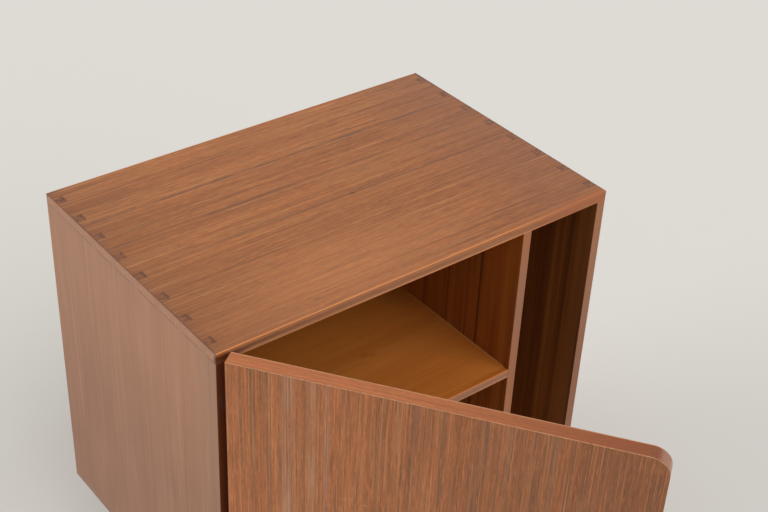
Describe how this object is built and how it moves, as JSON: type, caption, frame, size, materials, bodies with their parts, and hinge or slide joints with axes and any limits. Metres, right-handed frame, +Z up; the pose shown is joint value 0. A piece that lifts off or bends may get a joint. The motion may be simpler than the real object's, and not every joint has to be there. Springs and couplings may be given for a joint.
{
  "type": "nightstand",
  "caption": "Mid-century teak nightstand with a dovetailed box on turned legs, an overlay door with rounded corners, a shelf behind it and an open slot",
  "frame": {"origin": "On the floor, under the middle of the box.", "axes": "+Z up, the front with the door faces -Y, +X to the right seen from the front."},
  "size_m": [0.5, 0.6719, 0.53],
  "materials": {
    "teak_board": "oiled satin",
    "teak_leg": "oiled satin",
    "teak_lipping": "oiled satin",
    "teak_veneer": "oiled satin",
    "shelf_veneer": "clear lacquer, satin",
    "back_plywood": "plain sanded",
    "core_board": "raw",
    "zinc_steel": "zinc plated",
    "screw_steel": "zinc plated",
    "brass_screw": "plain",
    "brown_plastic": "moulded",
    "ferrite": "ground",
    "nylon": "moulded",
    "felt": "pressed felt"
  },
  "bodies": {
    "carcass": {"back_panel": "back_plywood", "back_screws": "brass_screw", "bottom_board": "teak_board", "catch_housing": "brown_plastic", "catch_magnet": "ferrite", "catch_screws": "screw_steel", "divider": "teak_board", "hinge_arm_lower": "zinc_steel", "hinge_arm_upper": "zinc_steel", "hinge_clamp_screws": "screw_steel", "hinge_plate_lower": "zinc_steel", "hinge_plate_screws": "screw_steel", "hinge_plate_upper": "zinc_steel", "left_side": "teak_board", "leg_back_left": "teak_leg", "leg_back_right": "teak_leg", "leg_front_left": "teak_leg", "leg_front_right": "teak_leg", "leg_glides": "nylon", "leg_plate_back_left": "zinc_steel", "leg_plate_back_right": "zinc_steel", "leg_plate_front_left": "zinc_steel", "leg_plate_front_right": "zinc_steel", "leg_plate_screws": "screw_steel", "leg_studs": "zinc_steel", "right_side": "teak_board", "shelf_board": "shelf_veneer", "shelf_lipping": "teak_lipping", "top_board": "teak_board"},
    "door": {"door_front_veneer": "teak_veneer", "door_back_veneer": "teak_veneer", "door_core": "core_board", "door_lipping_top": "teak_lipping", "door_lipping_bottom": "teak_lipping", "door_lipping_hinge": "teak_lipping", "door_lipping_free": "teak_lipping", "hinge_leaf_upper": "zinc_steel", "hinge_leaf_lower": "zinc_steel", "hinge_pin_upper": "zinc_steel", "hinge_pin_lower": "zinc_steel", "hinge_leaf_screws": "screw_steel", "catch_strike": "zinc_steel", "door_bumpers": "felt"}
  },
  "joints": [
    {"name": "door_hinge", "type": "hinge", "parent": "carcass", "child": "door", "pos_m": [-0.2405, -0.1788, 0.33], "axis": [0, 0, -1], "range_deg": [-54.2, 50.8]}
  ]
}
